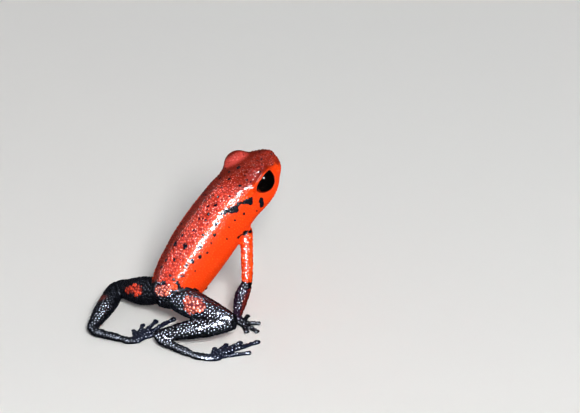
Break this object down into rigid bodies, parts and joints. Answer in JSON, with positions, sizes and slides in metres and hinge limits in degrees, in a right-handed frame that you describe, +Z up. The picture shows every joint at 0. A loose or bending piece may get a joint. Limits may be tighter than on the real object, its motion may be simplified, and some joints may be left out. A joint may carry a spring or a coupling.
{
  "type": "strawberry poison dart frog",
  "caption": "Life-size still model of a small red poison dart frog sitting upright on its forelegs, with black hind legs.",
  "frame": {"origin": "on the floor, under the middle of the frog's bounding box", "axes": "+Z up, the frog faces -Y with its right side at -X"},
  "size_m": [0.02, 0.0234, 0.0176],
  "materials": {
    "red_skin": "moist granular skin, satin",
    "maroon_skin": "moist granular skin, satin",
    "black_skin": "moist granular skin with a bluish sheen",
    "eye": "wet gloss"
  },
  "bodies": {
    "root": {"head": "red_skin", "torso": "red_skin", "eye_right": "eye", "eye_left": "eye", "upper_arm_right": "red_skin", "upper_arm_left": "red_skin", "forearm_right": "maroon_skin", "forearm_left": "maroon_skin", "hand_right": "black_skin", "hand_left": "black_skin", "thigh_right": "black_skin", "thigh_left": "black_skin", "shank_right": "black_skin", "shank_left": "black_skin", "tarsus_right": "black_skin", "tarsus_left": "black_skin", "foot_right": "black_skin", "foot_left": "black_skin"}
  },
  "joints": []
}
